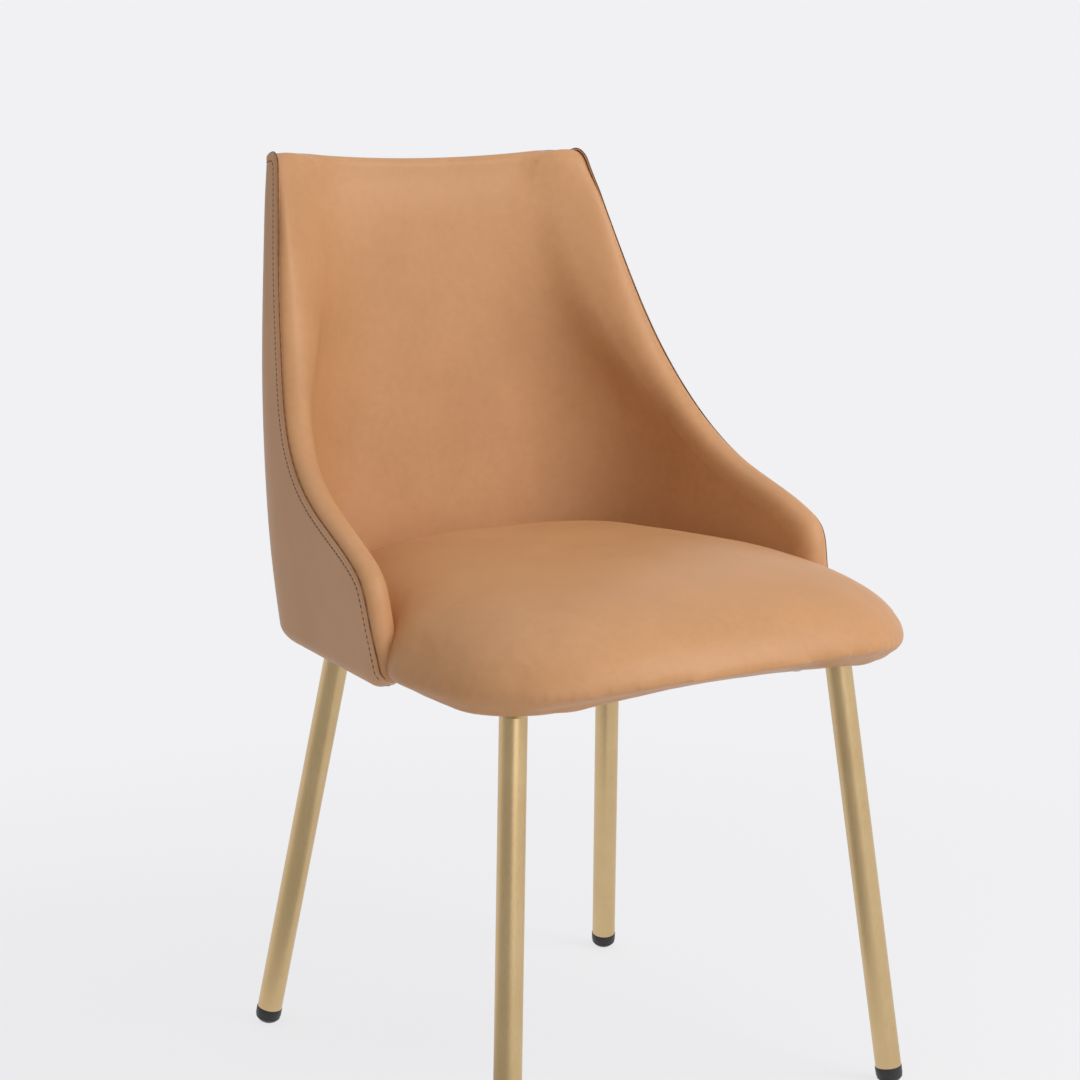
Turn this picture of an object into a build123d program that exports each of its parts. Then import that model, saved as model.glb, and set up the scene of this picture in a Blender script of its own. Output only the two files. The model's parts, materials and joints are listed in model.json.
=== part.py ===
"""Upholstered dining chair: wrap-around shell back, crowned seat, four splayed tube legs."""

import os
from math import cos, radians, sin

from build123d import *

os.makedirs("parts", exist_ok=True)

# Overall size and heights above the floor
seat_crown = 499.0
shell_bottom = 400.0
base_bottom = 402.0
base_thickness = 12.0
base_top = base_bottom + base_thickness

# Layers of the shell, from the outside in
outer_cover_thickness = 2.0
core_thickness = 12.0
inner_cover_thickness = 1.3
layer_gap = 0.2
core_outer = outer_cover_thickness + layer_gap
core_inner = core_outer + core_thickness
edge_padding = 14.0
roll_radius = 15.5
bottom_radius = 14.0

# Plan of the shell: straight sides that toe in, round corners, bowed rear
toe_in = 0.12
toe_line = -69.0
rear_bow_radius = 1000.0
plan_front = -200.0

# Height, half width at the toe line, rear centre, corner radius
outer_levels = (
    (390, 243.0, 239.0, 124.0),
    (476, 252.0, 247.0, 128.0),
    (560, 256.0, 256.0, 138.0),
    (650, 241.5, 264.0, 88.0),
    (745, 226.0, 270.5, 50.0),
    (820, 214.0, 274.7, 25.0),
    (880, 206.0, 277.7, 20.0),
)
inner_levels = (
    (390, 216.0, 208.0, 98.0),
    (476, 223.0, 216.0, 97.0),
    (560, 226.5, 226.0, 95.0),
    (650, 212.5, 235.0, 74.0),
    (745, 197.0, 242.5, 60.0),
    (820, 185.5, 247.5, 50.0),
    (880, 178.0, 251.5, 44.0),
)

# Side outline of the shell edge: arm front, arm tip, slope, wing, top corner
arm_foot = (-85.0, 380.0)
arm_front_top = (-70.5, 474.0)
arm_tip_radius = 42.0
arm_tip_turn = 59.0
arm_slope_point = (58.0, 552.0)
arm_slope_direction = (0.845, 0.535)
wing_point = (148.0, 651.0)
wing_direction = (0.508, 0.861)
wing_top = (224.0, 839.3)
wing_top_direction = (0.33, 0.944)
top_corner_radius = 16.0
top_corner_turn = 86.0

# Seat cushion: height, share of the full plan, half width in front, front line, front
# corner radius, then half width and rear line where it is tucked into the shell
seat_cover_thickness = 1.5
seat_levels = (
    (411, 1.0, 229.0, 238.0, 52.0, 213.0, 208.0),
    (421, 1.0, 236.5, 264.0, 90.0, 213.3, 208.9),
    (437, 0.986, 242.0, 279.4, 120.0, 217.0, 213.0),
    (456, 0.922, 242.0, 279.4, 120.0, 217.0, 213.0),
    (474, 0.809, 242.0, 279.4, 120.0, 217.0, 213.0),
    (486, 0.678, 242.0, 279.4, 120.0, 217.0, 213.0),
    (502, 0.5, 242.0, 279.4, 120.0, 217.0, 213.0),
)
seat_rear_corner = 96.0
seat_crown_radius = 1050.0
seat_crown_y = -11.0
seat_front_bow = 1500.0
shoulder_rear_y = -88.0
shoulder_front_y = -124.0
shoulder_radius = 40.0

# Base panel and seat board
base_front = 205.0
base_front_half_width = 200.0
base_corner_radius = 45.0
base_shoulder_y = -60.0
board_thickness = 12.0
board_margin = 22.0
dust_cover_thickness = 1.0
dust_cover_margin = 4.0

# Legs
tube_radius = 12.0
tube_wall = 1.5
plate_thickness = 3.0
plate_top = base_bottom - dust_cover_thickness
leg_top = plate_top - plate_thickness
weld_leg = 4.5
front_foot = (211.0, -226.0)
front_leg_at_420 = (172.0, -179.0)
rear_foot = (202.0, 227.0)
rear_leg_at_420 = (151.0, 147.0)
foot_dome_radius = 11.8
foot_shank_radius = 9.8
foot_shank_length = 24.0

# Corner plates, measured from the axis of the leg at the plate
plate_outer_margin = 21.0
plate_end_margin = 15.0
plate_length = 84.0
plate_width = 78.0
plate_corner_radius = 11.0
plate_tail = 24.0
bolt_inset = 12.0

# Fasteners
bolt_radius = 3.0
bolt_head_radius = 5.3
bolt_head_height = 3.3
bolt_length = 14.0
washer_radius = 7.0
washer_thickness = 1.2
tee_flange_radius = 9.5
tee_flange_thickness = 1.4
tee_barrel_radius = 4.0
fit_gap = 0.15
screw_radius = 2.0
screw_head_radius = 3.5
screw_head_height = 2.6
seat_screw_length = 20.0
shell_screw_length = 30.0


def save(part, name):
    part.label = name
    export_step(part, f"parts/{name}.step")


def plan_section(level, inset):
    """Closed plan of the shell at one height, moved in by the inset."""
    z, half_width, rear, corner = level
    half_width = half_width - inset
    rear = rear - inset
    rear_half = half_width - toe_in * (rear - toe_line)
    rear_side = rear - rear_half**2 / (2 * rear_bow_radius)
    front_half = half_width - toe_in * (plan_front - toe_line)
    with BuildSketch(Plane.XY.offset(z)) as section:
        with BuildLine():
            Polyline(
                (-rear_half, rear_side),
                (-front_half, plan_front),
                (front_half, plan_front),
                (rear_half, rear_side),
            )
            ThreePointArc((rear_half, rear_side), (0, rear), (-rear_half, rear_side))
        make_face()
        fillet(section.vertices().group_by(Axis.Y)[-1], corner - inset)
    return section.sketch


def plan_volume(levels, inset):
    """Everything inside one surface of the shell."""
    with BuildPart() as body:
        loft([plan_section(level, inset) for level in levels])
    return body.part


def shifted(point, direction, inset):
    """Point of the edge outline moved square to the outline, towards the shell."""
    along = Vector(*direction).normalized()
    return (point[0] + inset * along.Y, point[1] - inset * along.X)


def edge_region(inset, bottom):
    """Everything behind the edge outline of the shell, above its bottom."""
    rise = (arm_front_top[0] - arm_foot[0], arm_front_top[1] - arm_foot[1])
    with BuildPart() as region:
        with BuildSketch(Plane.YZ):
            with BuildLine():
                front = Line(shifted(arm_foot, rise, inset), shifted(arm_front_top, rise, inset))
                tip = JernArc(front @ 1, front % 1, arm_tip_radius - inset, -arm_tip_turn)
                wing = Spline(
                    tip @ 1,
                    shifted(arm_slope_point, arm_slope_direction, inset),
                    shifted(wing_point, wing_direction, inset),
                    shifted(wing_top, wing_top_direction, inset),
                    tangents=(tip % 1, wing_top_direction),
                )
                corner = JernArc(wing @ 1, wing % 1, top_corner_radius - inset, -top_corner_turn)
                top = Line(corner @ 1, corner @ 1 + (corner % 1) * 90)
                Polyline(top @ 1, ((top @ 1).X, (front @ 0).Y), front @ 0)
            make_face()
        extrude(amount=400, both=True)
        split(bisect_by=Plane.XY.offset(bottom), keep=Keep.TOP)
    return region.part


def trim_edges(part, bottom):
    """Edges where the inner face of the shell meets its cut edge."""
    inner = [f for f in part.faces() if f.geom_type == GeomType.BSPLINE and f.normal_at().Y < 0]
    cut = [f for f in part.faces() if f.geom_type != GeomType.BSPLINE and f.center().Z > bottom + 1]
    cut_edges = [edge for face in cut for edge in face.edges()]
    return [e for face in inner for e in face.edges() if any(e.is_same(c) for c in cut_edges)]


def pad_form(outer_inset, inner_inset, edge_inset, bottom):
    """Padded inner side of the shell with its edge rolled over."""
    with BuildPart() as pad:
        add(plan_volume(outer_levels, outer_inset))
        add(plan_volume(inner_levels, -inner_inset), mode=Mode.SUBTRACT)
        add(edge_region(edge_inset, bottom), mode=Mode.INTERSECT)
        fillet(trim_edges(pad.part, bottom), roll_radius - edge_inset)
    return pad.part


def outer_form(inset, edge_inset, bottom, radius):
    """Solid inside one outer surface, with its lower edge rounded."""
    with BuildPart() as form:
        add(plan_volume(outer_levels, inset))
        split(bisect_by=Plane.XY.offset(bottom), keep=Keep.TOP)
        lower = form.edges().filter_by_position(Axis.Z, bottom - 0.01, bottom + 0.01)
        fillet([e for e in lower if e.center().Y > plan_front + 1], radius)
        if edge_inset is not None:
            add(edge_region(edge_inset, bottom - 5), mode=Mode.INTERSECT)
    return form.part


core_bottom = shell_bottom + outer_cover_thickness
core_radius = bottom_radius - outer_cover_thickness

with BuildPart() as outer_cover:
    add(outer_form(0, 0, shell_bottom, bottom_radius))
    add(outer_form(outer_cover_thickness, None, core_bottom, core_radius), mode=Mode.SUBTRACT)
    add(plan_volume(outer_levels, core_inner), mode=Mode.SUBTRACT)

with BuildPart() as shell_core:
    add(outer_form(core_outer, edge_padding, core_bottom, core_radius))
    add(plan_volume(outer_levels, core_inner), mode=Mode.SUBTRACT)

pad_bottom = base_top + layer_gap
with BuildPart() as inner_cover:
    add(pad_form(core_outer, 0, 0, pad_bottom))
    add(
        pad_form(
            outer_cover_thickness,
            inner_cover_thickness,
            inner_cover_thickness,
            pad_bottom - 5,
        ),
        mode=Mode.SUBTRACT,
    )

foam_inset = inner_cover_thickness + layer_gap
with BuildPart() as core_space:
    add(plan_volume(outer_levels, core_outer - layer_gap))
    add(plan_volume(outer_levels, core_inner + layer_gap), mode=Mode.SUBTRACT)
    add(edge_region(edge_padding - layer_gap, pad_bottom - 5), mode=Mode.INTERSECT)

with BuildPart() as back_foam:
    add(pad_form(core_outer, foam_inset, foam_inset, pad_bottom))
    add(core_space.part, mode=Mode.SUBTRACT)


def seat_section(level, inset):
    """Closed plan of the seat cushion at one height, moved in by the inset."""
    z, share, half_width, front, corner, tucked_half, tucked_rear = level

    def along(y):
        return seat_crown_y + share * (y - seat_crown_y)

    half = share * half_width - inset
    front_middle = along(-front) + inset
    front_side = front_middle + half**2 / (2 * share * seat_front_bow)
    inner_half = share * tucked_half - inset
    rear = along(tucked_rear) - inset
    shoulder_half = inner_half - toe_in * (along(shoulder_rear_y) - along(toe_line))
    rear_half = inner_half - toe_in * (rear - along(toe_line))
    rear_side = rear - rear_half**2 / (2 * share * rear_bow_radius)
    corners = (
        (front_side, share * corner - inset),
        (along(shoulder_front_y), share * shoulder_radius),
        (along(shoulder_rear_y), share * shoulder_radius),
        (rear_side, share * seat_rear_corner - inset),
    )
    with BuildSketch(Plane.XY.offset(z)) as section:
        with BuildLine():
            ThreePointArc((-half, front_side), (0, front_middle), (half, front_side))
            ThreePointArc((rear_half, rear_side), (0, rear), (-rear_half, rear_side))
            for side in (-1, 1):
                Polyline(
                    (side * half, front_side),
                    (side * half, along(shoulder_front_y)),
                    (side * shoulder_half, along(shoulder_rear_y)),
                    (side * rear_half, rear_side),
                )
        make_face()
        for y, radius in corners:
            fillet([v for v in section.vertices() if abs(v.Y - y) < 0.001], radius)
    return section.sketch


def seat_form(inset):
    """Domed cushion with drawn-in sides and a rolled front, moved in by the inset."""
    sections = []
    for z, share, *plan in seat_levels:
        lean = (1 - share**2) ** 0.5
        sections.append(seat_section((z - lean * inset, share, *plan), share * inset))
    with BuildPart() as form:
        loft(sections)
        with Locations((0, seat_crown_y, seat_crown - seat_crown_radius)):
            Sphere(seat_crown_radius - inset, mode=Mode.INTERSECT)
        if inset:
            split(bisect_by=Plane.XY.offset(seat_levels[0][0] + inset), keep=Keep.TOP)
    return form.part


def base_form(gap, bottom, top):
    """Outline of the base panel, widened by the gap, between two heights."""
    with BuildPart() as form:
        add(plan_volume(outer_levels, core_inner + layer_gap - gap))
        with Locations((0, base_shoulder_y - gap, bottom)):
            Box(800, 600, top - bottom, align=(Align.CENTER, Align.MIN, Align.MIN), mode=Mode.INTERSECT)
        with BuildSketch(Plane.XY.offset(bottom)):
            with Locations((0, (gap - base_front) / 2 - gap)):
                RectangleRounded(
                    2 * (base_front_half_width + gap),
                    base_front + gap,
                    base_corner_radius,
                )
        extrude(amount=top - bottom)
    return form.part


def leg_frame(foot, at_420):
    """Foot point and direction of a leg, from the floor point and the point 420 mm up."""
    start = Vector(foot[0], foot[1], 0)
    return start, (Vector(at_420[0], at_420[1], 420) - start).normalized()


def mirrored(point, side):
    return (side * point[0], point[1])


# Name, side and the two points of every leg
leg_places = {}
for end, foot, upper in (("front", front_foot, front_leg_at_420), ("rear", rear_foot, rear_leg_at_420)):
    for hand, side in (("left", -1), ("right", 1)):
        leg_places[f"{end}_{hand}"] = leg_frame(mirrored(foot, side), mirrored(upper, side))


def plate_point(start, direction, inboard, inward):
    """Point on a corner plate, measured from the leg towards the middle of the chair."""
    centre = start + direction * (leg_top / direction.Z)
    side = 1 if centre.X > 0 else -1
    end = 1 if centre.Y > 0 else -1
    return (centre.X - side * inboard, centre.Y - end * inward)


bolt_marks = (
    (plate_length - plate_outer_margin - bolt_inset, bolt_inset - plate_end_margin),
    (bolt_inset - plate_outer_margin, plate_width - plate_end_margin - bolt_inset),
    (bolt_inset * 2, bolt_inset * 2),
)
bolt_points = [plate_point(*place, *mark) for place in leg_places.values() for mark in bolt_marks]


def at_height(points, z):
    return [(x, y, z) for x, y in points]


up = (Align.CENTER, Align.CENTER, Align.MIN)
seat_screw_points = [(x, y) for x in (-105, 105) for y in (-110, 90)]

# Shell screws point inwards from just under the outer face of the plywood shell
screw_height = 410.5
screw_half_width = 233.0
screw_rear = 232.0
shell_screw_planes = []
for side in (-1, 1):
    for y in (-15, 85):
        reach = screw_half_width - toe_in * (y - toe_line)
        shell_screw_planes.append(Plane((side * reach, y, screw_height), z_dir=(-side, -toe_in, 0)))
    x = side * 70
    rear_point = (x, screw_rear - x**2 / (2 * rear_bow_radius), screw_height)
    shell_screw_planes.append(Plane(rear_point, z_dir=(-x / rear_bow_radius, -1, 0)))

with BuildPart() as shell_screws:
    with Locations(*shell_screw_planes):
        Cylinder(screw_head_radius, screw_head_height, align=up)
        Cylinder(screw_radius, shell_screw_length, align=up)

with BuildPart() as shell_screw_holes:
    with Locations(*shell_screw_planes):
        with Locations((0, 0, -12)):
            Cylinder(screw_head_radius + fit_gap, screw_head_height + 12, align=up)
        Cylinder(screw_radius + fit_gap, shell_screw_length + fit_gap, align=up)

with BuildPart() as seat_screws:
    with Locations(*at_height(seat_screw_points, base_bottom)):
        Cone(screw_head_radius, screw_radius, screw_head_height, align=up)
        Cylinder(screw_radius, seat_screw_length, align=up)

with BuildPart() as seat_screw_holes:
    with Locations(*at_height(seat_screw_points, base_bottom)):
        Cone(screw_head_radius + fit_gap, screw_radius + fit_gap, screw_head_height, align=up)
        Cylinder(screw_radius + fit_gap, seat_screw_length + fit_gap, align=up)

with BuildPart() as base_panel:
    add(base_form(0, base_bottom, base_top))
    with Locations(*at_height(bolt_points, base_bottom)):
        Cylinder(tee_barrel_radius + fit_gap, base_thickness, align=up, mode=Mode.SUBTRACT)
    with Locations(*at_height(bolt_points, base_top - tee_flange_thickness - fit_gap)):
        Cylinder(tee_flange_radius + fit_gap, base_thickness, align=up, mode=Mode.SUBTRACT)
    add(seat_screw_holes.part, mode=Mode.SUBTRACT)
    add(shell_screw_holes.part, mode=Mode.SUBTRACT)

with BuildPart() as shell_core_drilled:
    add(shell_core.part)
    add(shell_screw_holes.part, mode=Mode.SUBTRACT)

board_sketch = seat_section(seat_levels[0], board_margin)
board_space_sketch = seat_section(seat_levels[0], board_margin - layer_gap)
board_lift = base_top - seat_levels[0][0]

with BuildPart() as board_blank:
    extrude(board_sketch, amount=board_lift + board_thickness)

with BuildPart() as seat_board:
    add(board_blank.part)
    split(bisect_by=Plane.XY.offset(base_top), keep=Keep.TOP)
    add(seat_screw_holes.part, mode=Mode.SUBTRACT)

with BuildPart() as seat_space:
    extrude(board_space_sketch, amount=board_lift + board_thickness + layer_gap)
    add(base_form(layer_gap * 2, seat_levels[0][0] - 10, base_top + layer_gap))

with BuildPart() as seat_cover:
    add(seat_form(0))
    add(seat_form(seat_cover_thickness), mode=Mode.SUBTRACT)
    add(seat_space.part, mode=Mode.SUBTRACT)

with BuildPart() as seat_foam:
    add(seat_form(seat_cover_thickness + layer_gap))
    add(seat_space.part, mode=Mode.SUBTRACT)

with BuildPart() as dust_cover:
    add(base_form(-dust_cover_margin, plate_top, base_bottom))
    with Locations(*at_height(bolt_points, plate_top)):
        Cylinder(tee_barrel_radius + fit_gap, base_thickness, align=up, mode=Mode.SUBTRACT)

with BuildPart() as tee_nuts:
    with Locations(*at_height(bolt_points, base_top - tee_flange_thickness - fit_gap)):
        Cylinder(tee_flange_radius, tee_flange_thickness, align=up)
    with Locations(*at_height(bolt_points, base_bottom + 2)):
        Cylinder(tee_barrel_radius, base_thickness - 3, align=up)
        Cylinder(bolt_radius + fit_gap, base_thickness, align=up, mode=Mode.SUBTRACT)

with BuildPart() as leg_washers:
    with Locations(*at_height(bolt_points, leg_top - washer_thickness)):
        Cylinder(washer_radius, washer_thickness, align=up)
        Cylinder(bolt_radius + fit_gap, washer_thickness, align=up, mode=Mode.SUBTRACT)

bolt_seat = leg_top - washer_thickness
with BuildPart() as leg_bolts:
    with Locations(*at_height(bolt_points, bolt_seat - bolt_head_height)):
        Cylinder(bolt_head_radius, bolt_head_height, align=up)
        Cylinder(bolt_radius, bolt_head_height + bolt_length, align=up)
    heads = leg_bolts.edges().filter_by_position(Axis.Z, bolt_seat - 4, bolt_seat - 3)
    fillet(heads, 1.5)
    with Locations(*at_height(bolt_points, bolt_seat - bolt_head_height)):
        with BuildSketch():
            RegularPolygon(2.3, 6)
        extrude(amount=2, mode=Mode.SUBTRACT)


def foot_profile(rim, centre, dome):
    """Half profile of a domed tube plug; the first value is the radius."""
    fin_points = []
    for fin in (6, 12, 18):
        fin_points += [
            (foot_shank_radius, rim + fin),
            (tube_radius - tube_wall - fit_gap, rim + fin + 0.6),
            (foot_shank_radius, rim + fin + 2.4),
        ]
    drop = (dome**2 - foot_dome_radius**2) ** 0.5
    tip = (0, centre - dome)
    middle = (dome * sin(radians(30)), centre - dome * cos(radians(30)))
    return tip, middle, [
        (foot_dome_radius, centre - drop),
        (foot_dome_radius, rim),
        (foot_shank_radius, rim),
        *fin_points,
        (foot_shank_radius, rim + foot_shank_length),
        (foot_shank_radius - 2, rim + foot_shank_length),
        (foot_shank_radius - 2, rim + 2),
        (0, rim + 2),
        tip,
    ]


foot_dome = 14.0
foot_flat_radius = 4.5
foot_rim = 3.0
dome_sink = (foot_dome**2 - foot_flat_radius**2) ** 0.5
dome_drop = (foot_dome**2 - foot_dome_radius**2) ** 0.5
weld_rings = []

for place, (start, direction) in leg_places.items():
    axis = Axis(start, direction)
    across = direction.cross(Vector(0, 0, 1)).normalized()
    centre = dome_sink / direction.Z
    rim = centre - dome_drop + foot_rim
    with BuildPart() as leg:
        with BuildSketch(Plane(start + direction * rim, z_dir=direction)):
            Circle(tube_radius)
            Circle(tube_radius - tube_wall, mode=Mode.SUBTRACT)
        extrude(amount=base_top)
        split(bisect_by=Plane.XY.offset(leg_top), keep=Keep.BOTTOM)
    save(leg.part, f"{place}_leg")

    tip, middle, outline = foot_profile(rim, centre, foot_dome)
    with BuildPart() as plug:
        with BuildSketch(Plane(start, x_dir=across, z_dir=across.cross(direction))):
            with BuildLine():
                ThreePointArc(tip, middle, outline[0])
                Polyline(*outline)
            make_face()
        revolve(axis=axis)
        split(bisect_by=Plane.XY, keep=Keep.TOP)
    save(plug.part, f"{place}_foot")

    corners = [
        (-plate_outer_margin, -plate_end_margin),
        (plate_length - plate_outer_margin, -plate_end_margin),
        (plate_length - plate_outer_margin, plate_tail - plate_end_margin),
        (plate_tail - plate_outer_margin, plate_width - plate_end_margin),
        (-plate_outer_margin, plate_width - plate_end_margin),
    ]
    with BuildPart() as plate:
        with BuildSketch(Plane.XY.offset(leg_top)) as plate_sketch:
            Polygon(*[plate_point(start, direction, *corner) for corner in corners], align=None)
            fillet(plate_sketch.vertices(), plate_corner_radius)
            with Locations(*[plate_point(start, direction, *mark) for mark in bolt_marks]):
                Circle(bolt_radius + 0.5, mode=Mode.SUBTRACT)
        extrude(amount=plate_thickness)
    save(plate.part, f"{place}_plate")

    with BuildPart() as weld:
        with Locations((*plate_point(start, direction, 0, 0), leg_top - weld_leg)):
            Cone(tube_radius + 0.9, tube_radius + weld_leg, weld_leg, align=up)
        with BuildSketch(Plane(start, z_dir=direction)):
            Circle(tube_radius + 0.05)
        extrude(amount=base_top, mode=Mode.SUBTRACT)
    weld_rings.append(weld.part)

with BuildPart() as leg_welds:
    for ring in weld_rings:
        add(ring)

for name, builder in (
    ("outer_cover", outer_cover),
    ("shell_core", shell_core_drilled),
    ("inner_cover", inner_cover),
    ("back_foam", back_foam),
    ("shell_screws", shell_screws),
    ("base_panel", base_panel),
    ("seat_board", seat_board),
    ("seat_foam", seat_foam),
    ("seat_cover", seat_cover),
    ("seat_screws", seat_screws),
    ("dust_cover", dust_cover),
    ("tee_nuts", tee_nuts),
    ("leg_bolts", leg_bolts),
    ("leg_washers", leg_washers),
    ("leg_welds", leg_welds),
):
    save(builder.part, name)
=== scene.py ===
"""Upholstered dining chair: covers, cushion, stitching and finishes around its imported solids."""
import json
from math import cos, hypot, pi, radians, sin

import bmesh
import bpy
import numpy as np
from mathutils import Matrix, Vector


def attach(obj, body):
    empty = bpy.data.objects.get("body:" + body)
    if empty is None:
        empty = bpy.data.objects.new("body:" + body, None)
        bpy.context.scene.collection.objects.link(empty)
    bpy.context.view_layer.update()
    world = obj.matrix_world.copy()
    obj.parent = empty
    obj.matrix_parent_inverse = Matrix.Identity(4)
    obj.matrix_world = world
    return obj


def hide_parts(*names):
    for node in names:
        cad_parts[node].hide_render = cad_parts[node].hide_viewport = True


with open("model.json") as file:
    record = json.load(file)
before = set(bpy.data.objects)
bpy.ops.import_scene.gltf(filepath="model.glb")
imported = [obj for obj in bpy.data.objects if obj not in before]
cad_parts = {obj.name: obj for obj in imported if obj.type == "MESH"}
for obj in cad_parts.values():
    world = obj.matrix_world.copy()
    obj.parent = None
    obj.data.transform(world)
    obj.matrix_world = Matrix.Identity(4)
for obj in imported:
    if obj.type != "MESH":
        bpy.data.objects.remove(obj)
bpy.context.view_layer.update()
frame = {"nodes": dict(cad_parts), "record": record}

# Lengths are written in millimetres, and the scene is in metres
MM = 0.001

# Plan of the shell: sides that toe in, round corners and a bowed rear, at several heights
TOE_IN = 0.12
TOE_LINE = -69.0
REAR_BOW = 1000.0
PLAN_FRONT = -200.0
LEVELS = (390, 476, 560, 650, 745, 820, 880)
OUTER_HALF_WIDTH = (243, 252, 256, 241.5, 226, 214, 206)
OUTER_REAR = (239, 247, 256, 264, 270.5, 274.7, 277.7)
OUTER_CORNER = (124, 128, 138, 88, 50, 25, 20)
INNER_HALF_WIDTH = (216, 223, 225.5, 219, 230, 262, 290)
INNER_REAR = (208, 216, 226, 235, 242.5, 247.5, 251.5)
INNER_CORNER = (100, 108, 122, 138, 160, 185, 205)

# Lower edge of the shell: rounded, with the outer panel turned under as a flap
BOTTOM = 400.0
BOTTOM_RADIUS = 14.0
BEND_TOP = BOTTOM + BOTTOM_RADIUS
BEND_END = BEND_TOP - BOTTOM_RADIUS * pi / 2
FLAP = 7.0

# The lower edge rises towards the arm front; what is above the lift's top stays
ARM_LIFT = 9.5
LIFT_REAR, LIFT_FRONT = -56.0, -87.0
LIFT_TOP = 465.0

# Top of the back: its corners fall away and its middle dips, both fading in over some heights.
# On the inner face the corners start further in, by the thickness of the padding
TOP_ROUND = 9.0
TOP_ROUND_FROM, TOP_ROUND_TO = 152.0, 182.0
TOP_ROUND_LIMIT = 1.5
TOP_DIP, TOP_DIP_REACH = 5.0, 150.0
TOP_FADE_LOW, TOP_FADE_HIGH = 800.0, 852.0
PADDING = 26.0

# Side view of the seam, as (y, height): under the arm, arm front, arm tip, slope and wing
EDGE_POINTS = (
    (-85.5, 385), (-84, 406), (-79.5, 433), (-71.5, 468), (-62.5, 493), (-43, 507.5),
    (8, 529), (58, 552), (105, 590), (148, 651), (188, 738), (224, 839.3),
)
ARM_TIP = 4
WING_TOP_SLOPE = (0.33, 0.944)
TOP_CORNER_RADIUS = 16.0
TOP_CORNER_TURN = 86.0
TOP_START, TOP_LENGTH = 0.5, 60.0
FINE_POINTS, CORNER_POINTS, TOP_POINTS = 1500, 60, 60

# Padded roll of the inner cover, row by row from the seam over to the inner face:
# distance behind the seam, and share of the way from the outer face to the inner face
SIDE_ROLL = (
    (2.5, 0.09), (0.0, 0.075), (-2.7, 0.15), (-4.9, 0.27), (-6.3, 0.42), (-6.9, 0.59), (-6.5, 0.76),
    (-5.2, 0.92), (-2.8, 1.06), (1.0, 1.18), (6.5, 1.26), (13.0, 1.3),
)
TOP_ROLL = (
    (2.5, 0.09), (1.0, 0.08), (0.4, 0.16), (0.2, 0.26), (0.3, 0.37), (0.7, 0.475), (1.4, 0.58),
    (2.6, 0.675), (4.3, 0.76), (6.6, 0.825), (9.5, 0.865), (13.0, 0.88),
)
ROLL_ROWS = 26

# Thickness of the roll at the arm, along the wing and near the top, with the heights where it
# changes, and the stations over which the side's roll turns into the top's
ARM_ROLL, WING_ROLL, HIGH_ROLL = 0.76, 1.0, 0.86
WING_ROLL_FROM, WING_ROLL_TO = 555.0, 650.0
HIGH_ROLL_FROM, HIGH_ROLL_TO = 660.0, 780.0
CORNER_STATIONS = 34

# Fill of the inner face: that of the roll's last row, nearest point first and then a mean of
# the points around, fading out with the distance from that row
ROLL_FADE = 27.0
NEAR_BLUR, NEAR_POWER = 9.0, 4.0
FADE_ROUNDS = 3

# Lower end of the inner cover: depth of the seam below the panel, and lean towards the panel
SEAM_DEPTH = 3.4
FOOT_LEAN = 0.2
INNER_FOOT, INNER_LOWER = BEND_TOP + 2, BEND_TOP + 14

# Stations along the seam of one half, closer by the top corner, and rows of the lower bands
ARM_STATIONS = 60
WING_STATIONS = 170
TOP_STATIONS = 80
CORNER_SHARE, CORNER_POWER = 0.12, 1.5
LOWER_ROWS, INNER_LOWER_ROWS = 22, 6

# Rounds of the two searches for a place on a face
HALVINGS, HEIGHT_ROUNDS = 40, 8


def natural_spline(knots, values):
    """Smooth curve through the values, as a function of the knots' coordinate."""
    knots = np.asarray(knots, float)
    values = np.asarray(values, float)
    steps = np.diff(knots)
    rises = np.diff(values) / steps
    system = np.eye(len(knots))
    right = np.zeros(len(knots))
    for i in range(1, len(steps)):
        system[i, i - 1:i + 2] = steps[i - 1], 2 * (steps[i - 1] + steps[i]), steps[i]
        right[i] = 6 * (rises[i] - rises[i - 1])
    bend = np.linalg.solve(system, right)

    def curve(at):
        at = np.clip(at, knots[0], knots[-1])
        i = np.clip(np.searchsorted(knots, at) - 1, 0, len(steps) - 1)
        step = steps[i]
        past = at - knots[i]
        left = knots[i + 1] - at
        cubic = (bend[i] * left**3 + bend[i + 1] * past**3) / (6 * step)
        first = (values[i] / step - bend[i] * step / 6) * left
        last = (values[i + 1] / step - bend[i + 1] * step / 6) * past
        return cubic + first + last

    return curve


OUTER = [natural_spline(LEVELS, row) for row in (OUTER_HALF_WIDTH, OUTER_REAR, OUTER_CORNER)]
INNER = [natural_spline(LEVELS, row) for row in (INNER_HALF_WIDTH, INNER_REAR, INNER_CORNER)]


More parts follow.
